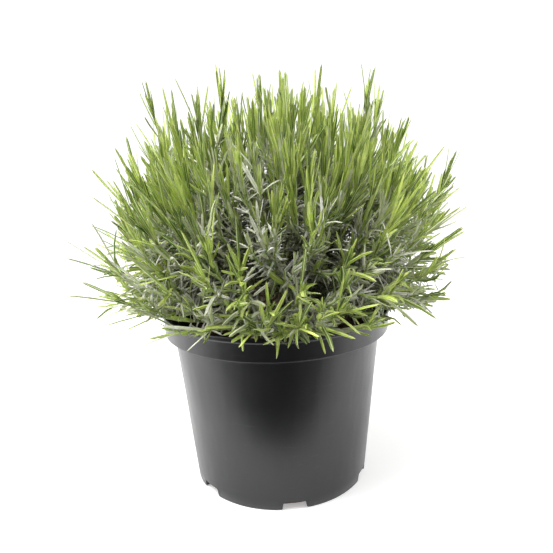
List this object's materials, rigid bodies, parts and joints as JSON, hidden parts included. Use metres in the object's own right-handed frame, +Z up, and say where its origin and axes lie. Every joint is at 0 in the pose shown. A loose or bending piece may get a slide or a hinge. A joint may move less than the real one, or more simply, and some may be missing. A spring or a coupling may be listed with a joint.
{
  "type": "potted lavender",
  "caption": "Young lavender bush of upright narrow-leaved shoots, green above and silver-grey below, growing in a round plastic nursery pot of soil.",
  "frame": {"origin": "centre of the pot's foot, on the ground plane, on the pot's axis", "axes": "+Z up along the pot's axis, -Y towards the front that the picture shows, +X to its right"},
  "size_m": [0.3236, 0.3199, 0.3371],
  "materials": {
    "pot_plastic": "satin",
    "soil_mix": "matte",
    "old_bark": "matte",
    "young_green": "matte",
    "old_silver": "matte"
  },
  "bodies": {
    "root": {"green_branch_01": "young_green", "green_branch_02": "young_green", "green_branch_03": "young_green", "green_branch_05": "young_green", "green_branch_06": "young_green", "green_branch_07": "young_green", "green_branch_09": "young_green", "green_branch_10": "young_green", "green_branch_11": "young_green", "green_branch_13": "young_green", "green_branch_14": "young_green", "green_branch_15": "young_green", "green_branch_17": "young_green", "green_branch_18": "young_green", "green_branch_19": "young_green", "green_branch_21": "young_green", "green_branch_22": "young_green", "green_branch_23": "young_green", "green_branch_25": "young_green", "green_branch_26": "young_green", "green_branch_27": "young_green", "green_branch_29": "young_green", "green_branch_30": "young_green", "green_branch_31": "young_green", "green_branch_33": "young_green", "green_branch_34": "young_green", "green_branch_35": "young_green", "green_branch_37": "young_green", "green_branch_38": "young_green", "green_branch_39": "young_green", "green_branch_41": "young_green", "green_branch_42": "young_green", "green_branch_43": "young_green", "green_branch_45": "young_green", "green_branch_46": "young_green", "green_branch_47": "young_green", "green_branch_49": "young_green", "green_branch_50": "young_green", "nursery_pot": "pot_plastic", "potting_soil": "soil_mix", "silver_branch_04": "old_silver", "silver_branch_08": "old_silver", "silver_branch_12": "old_silver", "silver_branch_16": "old_silver", "silver_branch_20": "old_silver", "silver_branch_24": "old_silver", "silver_branch_28": "old_silver", "silver_branch_32": "old_silver", "silver_branch_36": "old_silver", "silver_branch_40": "old_silver", "silver_branch_44": "old_silver", "silver_branch_48": "old_silver", "woody_crown": "old_bark"}
  },
  "joints": []
}
